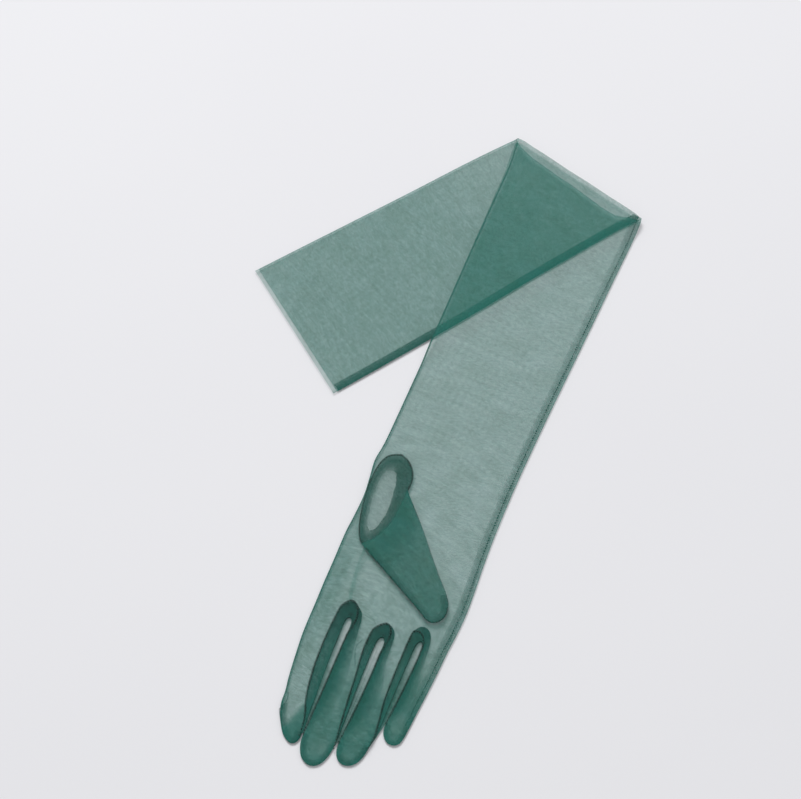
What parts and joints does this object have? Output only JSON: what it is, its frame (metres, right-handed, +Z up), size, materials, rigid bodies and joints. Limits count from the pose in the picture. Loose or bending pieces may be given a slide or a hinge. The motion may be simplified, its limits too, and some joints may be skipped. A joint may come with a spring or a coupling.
{
  "type": "evening glove",
  "caption": "Long sheer net evening glove for the right hand, lying flat palm up, with its thumb across the palm and the top of its arm folded under at a slant.",
  "frame": {"origin": "on the surface that the glove lies on, under the middle of its box", "axes": "+Y from the fingertips up the arm, +Z up from the surface, +X towards the little finger side"},
  "size_m": [0.2328, 0.4796, 0.0078],
  "materials": {
    "net": "sheer fine green net, matt with a faint sheen",
    "fourchette_net": "the same green net, folded double",
    "seam_net": "turned-in green net with a line of dark green stitches"
  },
  "bodies": {
    "root": {"trank": "net", "thumb": "net", "fourchette_index_middle": "fourchette_net", "fourchette_middle_ring": "fourchette_net", "fourchette_ring_little": "fourchette_net", "side_seam": "seam_net", "thumb_hole_seam": "seam_net", "thumb_side_seam": "seam_net"}
  },
  "joints": []
}
